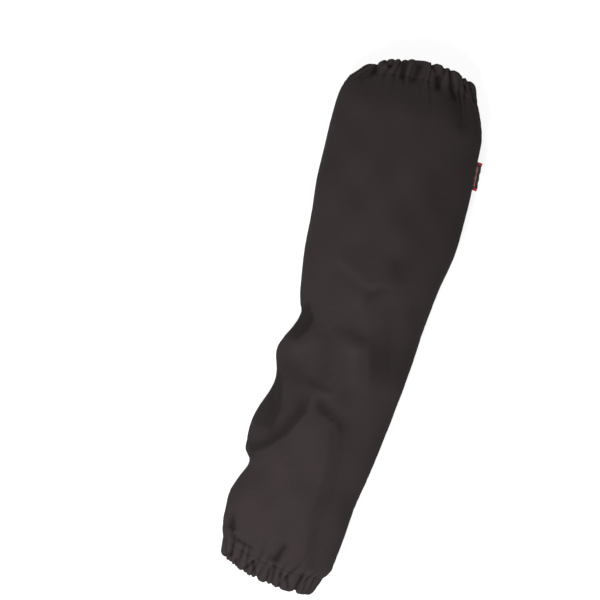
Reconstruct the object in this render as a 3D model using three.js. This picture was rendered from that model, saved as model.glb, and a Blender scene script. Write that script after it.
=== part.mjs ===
// A welder's sleeve: one tapered tube of heavy cotton that covers the arm from the wrist to
// the biceps. Each end is turned in to a hem that holds a flat elastic, which gathers the
// cloth. One seam runs along the right side, and a small folded label is sewn into it.
// The sleeve lies on a flat surface as if an arm had just left it, wrist end towards -Y.

import * as THREE from 'three';

// Driving sizes, in millimetres
const sleeveLength = 533;
const bicepsWidth = 151;
const bicepsHeight = 64;
const wristWidth = 120;
const wristHeight = 50;
const bicepsCuffWidth = 130; // at the stitch line
const bicepsCuffShift = -3; // towards the right
const bicepsCuffHeight = 43;
const bicepsEdgeWidth = 110; // at the edge
const bicepsEdgeShift = 0;
const wristCuffWidth = 107;
const wristCuffShift = -1.5;
const wristCuffHeight = 36;
const wristEdgeWidth = 98;
const wristEdgeShift = -3.4;
const bicepsShoulder = 46; // length over which the cloth draws in to the cuff
const wristShoulder = 28;
const wristRightShoulder = 12; // the same on the right side alone
const bicepsArc = 11.5; // how far the middle of the edge stands out past its corners
const bicepsSlant = 11; // the right corner of the edge lies this much further out
const wristArc = 5.8;
const wristSlant = 12.2;
const wristOut = 3.7; // the middle of the wrist edge stands out past the length by this
const clothWall = 1.5;
const casingWidth = 19; // from the stitch line to the edge
const hemLap = 4; // the hem's raw edge, past the stitch line
const elasticWall = 1.2;
const elasticWidth = 12.7;
const seat = 0.3; // clearance between sewn pieces
const gatherDepth = 3;
const gatherReach = 15; // how far a gather runs on into the sleeve
const scallop = 1.4; // how far a gather pulls the edge back
const seamWidth = 10;
const seamWall = 1.4;
const labelAt = 440; // from the wrist edge to the label's middle
const labelLength = 28;
const labelReach = 6.5;
const labelWall = 1.2;
const labelDroop = 38; // degrees below the horizontal

const bicepsGathers = 20;
const wristGathers = 18;
const bodyFacets = 30;
const bodyStep = 18;
const gatheredRows = [hemLap, 9, 17]; // distances of the gathered rings from a stitch line
const gatheredZone = 28; // the plain rings start this far from it

// The side edges and the top of the tube along its length. at is a share of the length from
// the wrist, left and right are shares of the width there, top is a share of the height.
const outline = [
  { at: 0.0, left: -0.49, right: 0.48, top: 0.97 },
  { at: 0.06, left: -0.49, right: 0.48, top: 0.99 },
  { at: 0.13, left: -0.51, right: 0.5, top: 1.0 },
  { at: 0.165, left: -0.47, right: 0.503, top: 0.99 },
  { at: 0.198, left: -0.425, right: 0.515, top: 0.95 },
  { at: 0.22, left: -0.485, right: 0.527, top: 0.98 },
  { at: 0.28, left: -0.488, right: 0.547, top: 1.0 },
  { at: 0.335, left: -0.42, right: 0.55, top: 0.97 },
  { at: 0.37, left: -0.4, right: 0.545, top: 0.95 },
  { at: 0.412, left: -0.432, right: 0.55, top: 0.98 },
  { at: 0.45, left: -0.38, right: 0.545, top: 0.96 },
  { at: 0.486, left: -0.335, right: 0.537, top: 0.94 },
  { at: 0.53, left: -0.37, right: 0.528, top: 0.96 },
  { at: 0.6, left: -0.405, right: 0.53, top: 0.98 },
  { at: 0.68, left: -0.43, right: 0.55, top: 1.0 },
  { at: 0.75, left: -0.457, right: 0.542, top: 1.0 },
  { at: 0.83, left: -0.474, right: 0.519, top: 1.0 },
  { at: 0.91, left: -0.483, right: 0.495, top: 0.99 },
  { at: 1.0, left: -0.48, right: 0.485, top: 0.98 },
];

// Creases and swells in the top of the tube. share runs round the girth from the seam on the
// right (0) over the top (0.25) to the left side (0.5), at runs along the length. reach is a
// share of the wrist width, sink a share of the wrist height, and a swell has a negative sink.
const creases = [
  { name: 'lower arm, apex to left edge', share0: 0.315, at0: 0.345, share1: 0.48, at1: 0.205,
    reach: 0.1, sink: 0.13 },
  { name: 'left edge under the elbow', share0: 0.5, at0: 0.375, share1: 0.4, at1: 0.28,
    reach: 0.1, sink: 0.12 },
  { name: 'lower arm, apex to right', share0: 0.3, at0: 0.345, share1: 0.13, at1: 0.3,
    reach: 0.09, sink: 0.07 },
  { name: 'elbow fold', share0: 0.5, at0: 0.487, share1: 0.38, at1: 0.53, reach: 0.09, sink: 0.14 },
  { name: 'elbow swell', share0: 0.43, at0: 0.435, share1: 0.36, at1: 0.43, reach: 0.14, sink: -0.05 },
  { name: 'dent on the right', share0: 0.11, at0: 0.475, share1: 0.1, at1: 0.41,
    reach: 0.13, sink: 0.09 },
  { name: 'swell beside the dent', share0: 0.2, at0: 0.44, share1: 0.19, at1: 0.38,
    reach: 0.11, sink: -0.06 },
  { name: 'wrinkle above the elbow', share0: 0.36, at0: 0.58, share1: 0.09, at1: 0.575,
    reach: 0.08, sink: 0.05 },
  { name: 'pucker at the wrist', share0: 0.47, at0: 0.11, share1: 0.45, at1: 0.06,
    reach: 0.06, sink: 0.1 },
];

// The shape of the tube's section
const flank = 0.42; // height of the widest line, as a share of the height
const topPower = 2.3;
const basePower = 2.6;
const baseSag = 1.09; // past 1, so that the cloth lies flat where it rests
const taperFrom = 0.15; // the arm widens between these shares of the length
const taperTo = 0.75;
const cuffTaper = 0.07; // how much lower the cuff is at its edge
const drawPower = 0.9;
const arcZone = 75; // the cuffs' curve fades out over this length
const creaseFade = 18;

const wristStitch = casingWidth;
const bicepsStitch = sleeveLength - casingWidth;
const casingWall = 2 * clothWall + elasticWall + 2 * seat;

const clamp01 = (x) => Math.min(1, Math.max(0, x));
const ease = (x) => clamp01(x) ** 2 * (3 - 2 * clamp01(x));
const mix = (a, b, t) => a + (b - a) * t;

// A column of the outline table at a share of the length, as a smooth curve through its rows.
function column(name, at) {
  const last = outline.length - 1;
  let i = 0;
  while (i < last - 1 && at > outline[i + 1].at) i += 1;
  const [p, q] = [outline[i], outline[i + 1]];
  const before = outline[Math.max(0, i - 1)];
  const after = outline[Math.min(last, i + 2)];
  const span = q.at - p.at;
  const t = clamp01((at - p.at) / span);
  const leave = ((q[name] - before[name]) / (q.at - before.at)) * span;
  const arrive = ((after[name] - p[name]) / (after.at - p.at)) * span;
  const [t2, t3] = [t * t, t * t * t];
  return (2 * t3 - 3 * t2 + 1) * p[name] + (t3 - 2 * t2 + t) * leave
    + (3 * t2 - 2 * t3) * q[name] + (t3 - t2) * arrive;
}

// How far the tube has filled out from a cuff, 0 at the stitch line to 1 past the shoulder.
const filled = (distance, shoulder) =>
  Math.sin((Math.PI / 2) * clamp01(distance / shoulder)) ** drawPower;

const cuffEnds = [
  { inwards: 1, stitch: wristStitch, shoulder: wristShoulder, rightShoulder: wristRightShoulder,
    width: wristCuffWidth, shift: wristCuffShift, edgeWidth: wristEdgeWidth,
    edgeShift: wristEdgeShift, height: wristCuffHeight },
  { inwards: -1, stitch: bicepsStitch, shoulder: bicepsShoulder, rightShoulder: bicepsShoulder,
    width: bicepsCuffWidth, shift: bicepsCuffShift, edgeWidth: bicepsEdgeWidth,
    edgeShift: bicepsEdgeShift, height: bicepsCuffHeight },
];

// The section of the tube at a distance along it: its sides, its height and its girth table.
const sections = new Map();
function sectionAt(along) {
  if (sections.has(along)) return sections.get(along);
  const at = along / sleeveLength;
  const grown = ease((at - taperFrom) / (taperTo - taperFrom));
  const width = mix(wristWidth, bicepsWidth, grown);
  let left = column('left', at) * width;
  let right = column('right', at) * width;
  let height = column('top', at) * mix(wristHeight, bicepsHeight, grown);
  for (const end of cuffEnds) {
    const distance = end.inwards * (along - end.stitch);
    const out = clamp01(-distance / casingWidth);
    const cuffHalf = mix(end.width, end.edgeWidth, out) / 2;
    const shift = mix(end.shift, end.edgeShift, out);
    left = mix(shift - cuffHalf, left, filled(distance, end.shoulder));
    right = mix(shift + cuffHalf, right, filled(distance, end.rightShoulder));
    height = mix(end.height * (1 - cuffTaper * out), height, filled(distance, end.shoulder));
  }
  const section = { left, right, height, middle: (left + right) / 2, half: (right - left) / 2 };
  section.girth = girthTable(section);
  sections.set(along, section);
  return section;
}

// A point of the section's outer line at an angle, anticlockwise from the right side.
function sectionPoint({ middle, half, height }, angle) {
  const [c, s] = [Math.cos(angle), Math.sin(angle)];
  const power = s >= 0 ? topPower : basePower;
  const x = middle + half * Math.sign(c) * Math.abs(c) ** (2 / power);
  const rise = Math.abs(s) ** (2 / power);
  const z = s >= 0 ? height * mix(flank, 1, rise) : height * flank * (1 - baseSag * rise);
  return [x, Math.max(0, z)];
}

// Lengths round the section, so that a share of the girth gives an evenly spaced point.
function girthTable(section) {
  const steps = 240;
  const table = [{ length: 0, angle: 0 }];
  let [px, pz] = sectionPoint(section, 0);
  for (let i = 1; i <= steps; i += 1) {
    const angle = (i / steps) * 2 * Math.PI;
    const [x, z] = sectionPoint(section, angle);
    table.push({ length: table[i - 1].length + Math.hypot(x - px, z - pz), angle });
    [px, pz] = [x, z];
  }
  return table;
}

function outerPoint(section, share) {
  const table = section.girth;
  const wanted = (share - Math.floor(share)) * table[table.length - 1].length;
  let [low, high] = [0, table.length - 1];
  while (high - low > 1) {
    const half = (low + high) >> 1;
    if (table[half].length > wanted) high = half;
    else low = half;
  }
  const t = (wanted - table[low].length) / (table[high].length - table[low].length);
  return sectionPoint(section, mix(table[low].angle, table[high].angle, t));
}

// How deep the creases sink the cloth at a place, less what the swells raise it. They fade
// out before the cuffs.
function creaseSink(share, along) {
  const inside = Math.min(along - wristStitch, bicepsStitch - along) / creaseFade;
  if (inside <= 0) return 0;
  const girth = Math.PI * wristWidth * 0.8;
  let sink = 0;
  for (const c of creases) {
    const [ax, ay] = [c.share0 * girth, c.at0 * sleeveLength];
    const [bx, by] = [c.share1 * girth - ax, c.at1 * sleeveLength - ay];
    const [px, py] = [share * girth - ax, along - ay];
    const t = clamp01((px * bx + py * by) / (bx * bx + by * by));
    const away = Math.hypot(px - t * bx, py - t * by) / (c.reach * wristWidth);
    sink += c.sink * wristHeight * Math.exp(-away * away);
  }
  return sink * ease(inside);
}

// The curve and the slant of the two cuffs, as a shift along the sleeve.
function endShift(section, x, along) {
  const side = (x - section.middle) / section.half;
  const wrist = 1 - ease(along / arcZone);
  const biceps = 1 - ease((sleeveLength - along) / arcZone);
  return wrist * (wristArc * side * side - wristOut - (wristSlant / 2) * side)
    + biceps * ((bicepsSlant / 2) * side - bicepsArc * side * side);
}

// A point of the cloth: a share of the girth, a distance along, and a depth in from the
// outer face. Every layer sinks along the same line towards the section's core, so the
// layers never cross.
function clothPoint(share, along, depth, gathered = 0) {
  const section = sectionAt(along);
  const [x, z] = outerPoint(section, share);
  const coreHalf = Math.max(0, section.half - section.height / 2);
  const coreX = section.middle + Math.min(coreHalf, Math.max(-coreHalf, x - section.middle));
  const coreZ = section.height * flank;
  const reach = Math.hypot(x - coreX, z - coreZ);
  const onTop = share - Math.floor(share) < 0.55;
  const sink = (depth + gathered + (onTop ? creaseSink(share - Math.floor(share), along) : 0)) / reach;
  const px = x + (coreX - x) * sink;
  const pz = z + (coreZ - z) * sink;
  return new THREE.Vector3(px, along + endShift(section, x, along), Math.max(depth, pz));
}

// Half the seam's width as a share of the girth: the cloth stays ungathered there.
const seamShare = seamWidth / 2 / (Math.PI * bicepsWidth * 0.75);
const besideSeam = (t) => mix(seamShare, 1 - seamShare, t);

// The shares at which a gathered ring is sampled: the seam, then four points to a gather.
function gatheredShares(gathers) {
  const shares = [{ share: 0, fold: 0, gather: 0 }];
  for (let i = 0; i <= gathers * 4; i += 1) {
    const t = i / (gathers * 4);
    const uneven = t + 0.012 * Math.sin(6 * Math.PI * t) + 0.007 * Math.sin(14 * Math.PI * t);
    const fold = (1 - Math.cos((i * Math.PI) / 2)) / 2;
    shares.push({ share: besideSeam(uneven), fold, gather: Math.floor(i / 4) });
  }
  return shares;
}

function smoothShares() {
  const shares = [{ share: 0, fold: 0, gather: 0 }];
  for (let i = 0; i <= bodyFacets; i += 1) {
    shares.push({ share: besideSeam(i / bodyFacets), fold: 0, gather: 0 });
  }
  return shares;
}

const bicepsShares = gatheredShares(bicepsGathers);
const wristShares = gatheredShares(wristGathers);
const plainShares = smoothShares();

// How deep one gather is at a distance from the stitch line, into the sleeve if positive.
function gatherSink({ fold, gather }, distance) {
  const strength = 0.68 + 0.32 * Math.sin(2.4 * gather + 1);
  const length = gatherReach * (0.8 + 0.4 * Math.sin(1.7 * gather));
  return gatherDepth * fold * strength * Math.exp(-Math.max(0, distance) / length);
}

// One closed ring of the cloth at a distance from a cuff's stitch line.
function wristRing(distance, depth, along = wristStitch + distance) {
  return wristShares.map((s) =>
    clothPoint(s.share, along + pulledBack(s, distance), depth, gatherSink(s, distance)));
}
function bicepsRing(distance, depth, along = bicepsStitch - distance) {
  return bicepsShares.map((s) =>
    clothPoint(s.share, along - pulledBack(s, distance), depth, gatherSink(s, distance)));
}
function plainRing(along, depth) {
  return plainShares.map((s) => clothPoint(s.share, along, depth));
}
const pulledBack = ({ fold }, distance) => scallop * fold * clamp01(-distance / casingWidth) ** 2;

// How far round a ring its point m lies. Every ring starts at the seam's middle and has its
// second and last points at the seam's two sides.
function progress(m, count) {
  if (m === 0) return -1;
  return m === count ? 2 : (m - 1) / (count - 2);
}

// Faces between two rings that may have different numbers of points. The diagonals always
// start from the ring nearer the biceps, so that neighbouring layers are cut alike.
function bridge(rings, starts, i, j, faces) {
  const [a, b] = [rings[i], rings[j]];
  const from = (m) => starts[i] + (m % a.length);
  const to = (n) => starts[j] + (n % b.length);
  const upper = a[0].y > b[0].y;
  let [m, n] = [0, 0];
  while (m < a.length || n < b.length) {
    const ahead = n < b.length ? progress(n + 1, b.length) : 3;
    const next = m < a.length ? progress(m + 1, a.length) : 3;
    const alongA = next < ahead || (next === ahead && upper);
    faces.push(from(m), alongA ? from(m + 1) : to(n + 1), to(n));
    if (alongA) m += 1;
    else n += 1;
  }
}

function geometryOf(rings, faces) {
  const geometry = new THREE.BufferGeometry();
  const positions = rings.flat().flatMap((p) => [p.x, p.y, p.z]);
  geometry.setAttribute('position', new THREE.Float32BufferAttribute(positions, 3));
  geometry.setIndex(faces);
  geometry.computeVertexNormals();
  return geometry;
}

function startsOf(rings) {
  let total = 0;
  return rings.map((ring) => {
    total += ring.length;
    return total - ring.length;
  });
}

// A hollow band: closed rings that go along its outer face and come back along its inner one.
function bandOf(rings) {
  const starts = startsOf(rings);
  const faces = [];
  rings.forEach((_, i) => bridge(rings, starts, (i + 1) % rings.length, i, faces));
  return geometryOf(rings, faces);
}

// A solid strip: equal sections of a few corners one after another, closed at both ends.
function stripOf(corners) {
  const starts = startsOf(corners);
  const faces = [];
  for (let i = 0; i + 1 < corners.length; i += 1) bridge(corners, starts, i + 1, i, faces);
  const last = starts[corners.length - 1];
  for (let k = 1; k + 1 < corners[0].length; k += 1) {
    faces.push(0, k, k + 1);
    faces.push(last, last + k + 1, last + k);
  }
  return geometryOf(corners, faces);
}

const cotton = new THREE.MeshStandardMaterial({ color: 0x322d2c, roughness: 0.92, metalness: 0 });
const elastic = new THREE.MeshStandardMaterial({ color: 0x1c1b1b, roughness: 0.8, metalness: 0 });
const serging = new THREE.MeshStandardMaterial({ color: 0x262323, roughness: 0.95, metalness: 0 });
const wovenLabel = new THREE.MeshStandardMaterial({ color: 0x1f1819, roughness: 0.6, metalness: 0 });

const sleeve = new THREE.Group();
function add(name, geometry, material) {
  const mesh = new THREE.Mesh(geometry, material);
  mesh.name = name;
  sleeve.add(mesh);
  return mesh;
}

// The body: gathered rings beside each stitch line, and plain rings between.
const besideCuff = [seat / 2, ...gatheredRows];
const plainFrom = wristStitch + gatheredZone;
const plainTo = bicepsStitch - gatheredZone;
const plainCount = Math.round((plainTo - plainFrom) / bodyStep);
function bodyRings(depth) {
  const rings = besideCuff.map((d) => wristRing(d, depth));
  for (let i = 0; i <= plainCount; i += 1) {
    rings.push(plainRing(mix(plainFrom, plainTo, i / plainCount), depth));
  }
  besideCuff.toReversed().forEach((d) => rings.push(bicepsRing(d, depth)));
  return rings;
}
add('sleeve_body', bandOf([...bodyRings(0), ...bodyRings(clothWall).reverse()]), cotton);

// A cuff: the cloth turned in at the edge, as a line of points across its section. out is the
// distance from the stitch line towards the edge, depth is measured in from the outer face.
const pocket = clothWall + seat;
const cuffLine = [
  { out: seat / 2, depth: 0 },
  { out: casingWidth * 0.5, depth: 0 },
  { out: casingWidth - casingWall * 0.4, depth: 0 },
  { out: casingWidth, depth: casingWall / 2 },
  { out: casingWidth - casingWall * 0.4, depth: casingWall },
  { out: hemLap, depth: casingWall },
  { out: 0, depth: clothWall + seat + clothWall },
  { out: -hemLap, depth: clothWall + seat + clothWall },
  { out: -hemLap, depth: pocket },
  { out: seat / 2, depth: pocket },
  { out: hemLap, depth: casingWall - clothWall },
  { out: casingWidth - clothWall - seat, depth: casingWall - clothWall },
  { out: casingWidth - clothWall - seat, depth: clothWall },
  { out: seat / 2, depth: clothWall },
];
const wristCuff = cuffLine.map(({ out, depth }) => wristRing(-out, depth));
const bicepsCuff = cuffLine.map(({ out, depth }) => bicepsRing(-out, depth));
add('wrist_cuff', bandOf(wristCuff.reverse()), cotton);
add('biceps_cuff', bandOf(bicepsCuff), cotton);

// The flat elastics, inside the pockets of the cuffs
const elasticFrom = casingWidth - clothWall - 2 * seat - elasticWidth;
const elasticLine = [
  { out: elasticFrom, depth: pocket },
  { out: elasticFrom + elasticWidth, depth: pocket },
  { out: elasticFrom + elasticWidth, depth: pocket + elasticWall },
  { out: elasticFrom, depth: pocket + elasticWall },
];
const wristBand = elasticLine.map(({ out, depth }) => wristRing(-out, depth));
const bicepsBand = elasticLine.map(({ out, depth }) => bicepsRing(-out, depth));
add('wrist_elastic', bandOf(wristBand.reverse()), elastic);
add('biceps_elastic', bandOf(bicepsBand), elastic);

// The seam allowance: both raw edges, serged together and lying flat inside the tube
function seamCorners(along) {
  const face = clothWall + seat;
  const across = [-seamShare, 0, seamShare];
  return [
    ...across.map((share) => clothPoint(share, along, face)),
    ...across.toReversed().map((share) => clothPoint(share, along, face + seamWall)),
  ];
}
const [hemRow, ...otherRows] = gatheredRows;
const seamRows = [hemRow + seat, ...otherRows];
const seamPlaces = seamRows.map((d) => wristStitch + d);
for (let i = 0; i <= plainCount; i += 1) seamPlaces.push(mix(plainFrom, plainTo, i / plainCount));
seamPlaces.push(...seamRows.map((d) => bicepsStitch - d).reverse());
add('side_seam', stripOf(seamPlaces.map(seamCorners)), serging);

// The label: a woven strip folded double, sewn into the seam and drooping from it
function labelCorners(along) {
  const root = clothPoint(0, along, 0);
  const droop = THREE.MathUtils.degToRad(labelDroop);
  const outward = new THREE.Vector3(Math.cos(droop), 0, -Math.sin(droop));
  const upward = new THREE.Vector3(Math.sin(droop), 0, Math.cos(droop));
  const corner = (out, up) =>
    root.clone().addScaledVector(outward, out).addScaledVector(upward, up);
  const near = seat + labelWall / 2;
  return [
    corner(near, -labelWall / 2),
    corner(near + labelReach, -labelWall / 2),
    corner(near + labelReach, labelWall / 2),
    corner(near, labelWall / 2),
  ];
}
const labelPlaces = [-0.5, 0, 0.5].map((t) => labelAt + t * labelLength);
add('side_label', stripOf(labelPlaces.map(labelCorners)), wovenLabel);

// The origin is the middle of the footprint, on the surface that the sleeve lies on
const box = new THREE.Box3().setFromObject(sleeve);
sleeve.position.set(-(box.min.x + box.max.x) / 2, -(box.min.y + box.max.y) / 2, -box.min.z);

export default sleeve;
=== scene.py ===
import math

import bmesh
import bpy
import numpy as np
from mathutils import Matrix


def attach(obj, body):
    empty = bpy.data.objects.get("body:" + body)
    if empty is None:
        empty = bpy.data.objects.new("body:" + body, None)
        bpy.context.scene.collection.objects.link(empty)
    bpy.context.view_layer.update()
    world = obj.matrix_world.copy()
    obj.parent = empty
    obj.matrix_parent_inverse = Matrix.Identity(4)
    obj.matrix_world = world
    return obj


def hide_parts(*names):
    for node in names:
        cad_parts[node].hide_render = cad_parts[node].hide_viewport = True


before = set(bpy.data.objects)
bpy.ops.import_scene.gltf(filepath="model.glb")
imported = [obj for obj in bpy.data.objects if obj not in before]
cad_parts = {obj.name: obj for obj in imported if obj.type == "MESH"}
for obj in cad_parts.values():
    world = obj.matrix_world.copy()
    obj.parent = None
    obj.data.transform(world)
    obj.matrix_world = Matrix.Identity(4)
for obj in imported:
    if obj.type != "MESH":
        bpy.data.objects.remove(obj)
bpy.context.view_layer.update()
print("frame loaded")

mm = 0.001


def linearColour(hexColour, alpha=1.0):  # sRGB hex to what a colour socket takes
    channels = [int(hexColour[i:i + 2], 16) / 255 for i in (1, 3, 5)]
    return [c / 12.92 if c <= 0.04045 else ((c + 0.055) / 1.055) ** 2.4 for c in channels] + [alpha]


# Adds one node. Each of its inputs, by name or number, gets a value or a link: from a socket, or
# from a node's first output.
def addNode(tree, kind, inputs=None, **settings):
    node = tree.nodes.new(kind)
    for name, value in settings.items():
        setattr(node, name, value)
    for name, value in (inputs or {}).items():
        source = value.outputs[0] if isinstance(value, bpy.types.Node) else value
        if isinstance(source, bpy.types.NodeSocket):
            tree.links.new(source, node.inputs[name])
        else:
            node.inputs[name].default_value = value
    return node


mixA, mixB, mixOut = 6, 7, 2  # the numbers of a colour Mix node's two colours and of its result


# A material with its node tree and its shader, and values for the shader's own sockets
def newMaterial(name, values):
    material = bpy.data.materials.new(name)
    material.use_nodes = True
    shader = material.node_tree.nodes["Principled BSDF"]
    for socket, value in values.items():
        shader.inputs[socket].default_value = value
    return material, material.node_tree, shader


def waveScale(pitch):  # the Scale that puts a Wave node's bands pitch mm apart
    return math.pi / (10 * pitch * mm)


def addObject(name, data):
    obj = bpy.data.objects.new(name, data)
    bpy.context.collection.objects.link(obj)
    return obj


def smooth(x):
    x = np.clip(x, 0.0, 1.0)
    return x * x * (3 - 2 * x)


def mix(a, b, t):
    return a + (b - a) * t


# The photo is taken from straight overhead, with the sleeve turned clockwise in the picture.
view = {
    "centre": (-57, 8.8),  # mm, where the picture's middle meets the sleeve's plane
    "turn": 16.87,  # degrees
    "frameWidth": 591.6,  # mm across the picture at the height of the sleeve's sides
    "planeHeight": 26,
    "lens": 100,
    "sensor": 36,
}

camera = addObject("camera", bpy.data.cameras.new("camera"))
camera.data.lens = view["lens"]
camera.data.sensor_width = view["sensor"]
camera.data.clip_end = 20
distance = view["frameWidth"] * view["lens"] / view["sensor"]
camera.location = (view["centre"][0] * mm, view["centre"][1] * mm, (view["planeHeight"] + distance) * mm)
camera.rotation_euler = (0, 0, math.radians(view["turn"]))
bpy.context.scene.camera = camera

studio = {
    "floor": "#787878",
    "floorGlow": 0.86,  # lit from behind like a light table, so that shadows stay faint
    "floorSize": 8.0,  # metres
    "worldStrength": 0.36,
}
# away is a lamp's place in metres from the sleeve's middle, in the picture's axes
lamps = {
    "key": {"power": 11.0, "size": 0.25, "away": (-0.22, -0.38, 0.74)},
    "fill": {"power": 5.0, "size": 0.4, "away": (0.0, 1.1, 0.55)},
}

floorMesh = bpy.data.meshes.new("floor")
half = studio["floorSize"] / 2
corners = [(-half, -half, 0), (half, -half, 0), (half, half, 0), (-half, half, 0)]
floorMesh.from_pydata(corners, [], [(0, 1, 2, 3)])
floor = addObject("floor", floorMesh)
floor.location.z = -0.1 * mm  # just clear of the cloth that lies on it

# Opal acrylic sheet, extruded: an even white glow without a reflection. It is clear from below,
# so that the sleeve's underside shows.
opal, opalTree, opalShader = newMaterial("opal acrylic sheet", {
    "Base Color": linearColour(studio["floor"]), "Roughness": 0.9,
    "Emission Color": (1, 1, 1, 1), "Emission Strength": studio["floorGlow"]})
clear = addNode(opalTree, "ShaderNodeBsdfTransparent")
facing = addNode(opalTree, "ShaderNodeNewGeometry")
oneSided = addNode(opalTree, "ShaderNodeMixShader",
                   {0: facing.outputs["Backfacing"], 1: opalShader, 2: clear})
opalTree.links.new(oneSided.outputs[0], opalTree.nodes["Material Output"].inputs["Surface"])
floorMesh.materials.append(opal)

world = bpy.data.worlds.new("studio")
world.use_nodes = True
background = world.node_tree.nodes["Background"]
background.inputs["Color"].default_value = (1, 1, 1, 1)
background.inputs["Strength"].default_value = studio["worldStrength"]
bpy.context.scene.world = world
bpy.context.scene.view_settings.view_transform = "Standard"  # keeps the floor white and the cloth dark

turn = math.radians(view["turn"])
for name, given in lamps.items():
    lamp = addObject(name, bpy.data.lights.new(name, "AREA"))
    lamp.data.energy = given["power"]
    lamp.data.size = given["size"]
    right, up, above = given["away"]
    x = right * math.cos(turn) - up * math.sin(turn)
    y = right * math.sin(turn) + up * math.cos(turn)
    lamp.location = (x, y, above)
    lamp.rotation_euler = (math.atan2(math.hypot(x, y), above), 0, math.atan2(y, x) + math.pi / 2)
print("camera, floor and light made")

# The tube's shape, with the same sizes and tables as the solids. Lengths are in mm: x runs to
# the right from the sleeve's axis, y from the wrist edge, z up.
tube = {
    "frameShift": (-6.798, -264.179),  # from these places to the model's
    "length": 533,
    "bicepsWidth": 151,
    "bicepsHeight": 64,
    "wristWidth": 120,
    "wristHeight": 50,
    "bicepsArc": 11.5,
    "bicepsSlant": 11,
    "wristArc": 5.8,
    "wristSlant": 12.2,
    "wristOut": 3.7,
    "casing": 19,
    "flank": 0.42,
    "topPower": 2.3,
    "basePower": 2.6,
    "baseSag": 1.09,
    "taper": (0.15, 0.75),
    "cuffTaper": 0.07,
    "drawPower": 0.9,
    "risePower": 1.2,  # softer than in the solids, so that no corner shows at the stitch line
    "arcZone": 75,
}
cuffEnds = {
    "wrist": {"shoulder": 28, "rightShoulder": 12, "width": 107, "shift": -1.5, "edgeWidth": 98,
              "edgeShift": -3.4, "height": 36},
    "biceps": {"shoulder": 46, "rightShoulder": 46, "width": 130, "shift": -3, "edgeWidth": 110,
               "edgeShift": 0, "height": 43},
}

# Along the tube: a share of the length, then the left and right sides as shares of the width
# there, and the top as a share of the height
outline = np.array([
    (0, -0.49, 0.48, 0.97), (0.06, -0.49, 0.48, 0.99),
    (0.13, -0.51, 0.5, 1), (0.165, -0.47, 0.503, 0.99),
    (0.198, -0.425, 0.515, 0.95), (0.22, -0.485, 0.527, 0.98),
    (0.28, -0.488, 0.547, 1), (0.335, -0.42, 0.55, 0.97),
    (0.37, -0.4, 0.545, 0.95), (0.412, -0.432, 0.55, 0.98),
    (0.45, -0.38, 0.545, 0.96), (0.486, -0.335, 0.537, 0.94),
    (0.53, -0.37, 0.528, 0.96), (0.6, -0.405, 0.53, 0.98),
    (0.68, -0.43, 0.55, 1), (0.75, -0.457, 0.542, 1),
    (0.83, -0.474, 0.519, 1), (0.91, -0.483, 0.495, 0.99),
    (1, -0.48, 0.485, 0.98),
])

stitchAt = {"wrist": tube["casing"], "biceps": tube["length"] - tube["casing"]}
outwards = {"wrist": -1, "biceps": 1}  # which way along the sleeve each cuff points
leftSide, rightSide, topLine = 1, 2, 3  # columns of the outline


def outlineColumn(column, at):
    places, values = outline[:, 0], outline[:, column]
    last = len(places) - 1
    i = np.clip(np.searchsorted(places, at, side="right") - 1, 0, last - 1)
    before, after = np.maximum(i - 1, 0), np.minimum(i + 2, last)
    span = places[i + 1] - places[i]
    t = np.clip((at - places[i]) / span, 0, 1)
    leave = (values[i + 1] - values[before]) / (places[i + 1] - places[before]) * span
    arrive = (values[after] - values[i]) / (places[after] - places[i]) * span
    return ((2 * t**3 - 3 * t**2 + 1) * values[i] + (t**3 - 2 * t**2 + t) * leave
            + (3 * t**2 - 2 * t**3) * values[i + 1] + (t**3 - t**2) * arrive)


# How far the tube has filled out from a cuff, 0 at the stitch line to 1 past the shoulder
def filled(distance, shoulder, power):
    return np.sin(np.pi / 2 * np.clip(distance / shoulder, 0, 1)) ** power


# The left side, right side and height of the section at each distance along the tube
def sectionsAt(along):
    at = along / tube["length"]
    grown = smooth((at - tube["taper"][0]) / (tube["taper"][1] - tube["taper"][0]))
    width = mix(tube["wristWidth"], tube["bicepsWidth"], grown)
    left = outlineColumn(leftSide, at) * width
    right = outlineColumn(rightSide, at) * width
    height = outlineColumn(topLine, at) * mix(tube["wristHeight"], tube["bicepsHeight"], grown)
    for end, distance in (("wrist", along - stitchAt["wrist"]), ("biceps", stitchAt["biceps"] - along)):
        e = cuffEnds[end]
        out = np.clip(-distance / tube["casing"], 0, 1)
        cuffHalf = mix(e["width"], e["edgeWidth"], out) / 2
        shift = mix(e["shift"], e["edgeShift"], out)
        left = mix(shift - cuffHalf, left, filled(distance, e["shoulder"], tube["drawPower"]))
        right = mix(shift + cuffHalf, right, filled(distance, e["rightShoulder"], tube["drawPower"]))
        height = mix(e["height"] * (1 - tube["cuffTaper"] * out), height,
                     filled(distance, e["shoulder"], tube["risePower"]))
    return left, right, height


def sectionPoints(middle, halfWidth, height, angle):
    c, s = np.cos(angle), np.sin(angle)
    above = s >= 0
    power = np.where(above, tube["topPower"], tube["basePower"])
    x = middle + halfWidth * np.sign(c) * np.abs(c) ** (2 / power)
    rise = np.abs(s) ** (2 / power)
    flank = tube["flank"]
    z = np.where(above, height * mix(flank, 1, rise), height * flank * (1 - tube["baseSag"] * rise))
    return x, np.maximum(z, 0)


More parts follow.
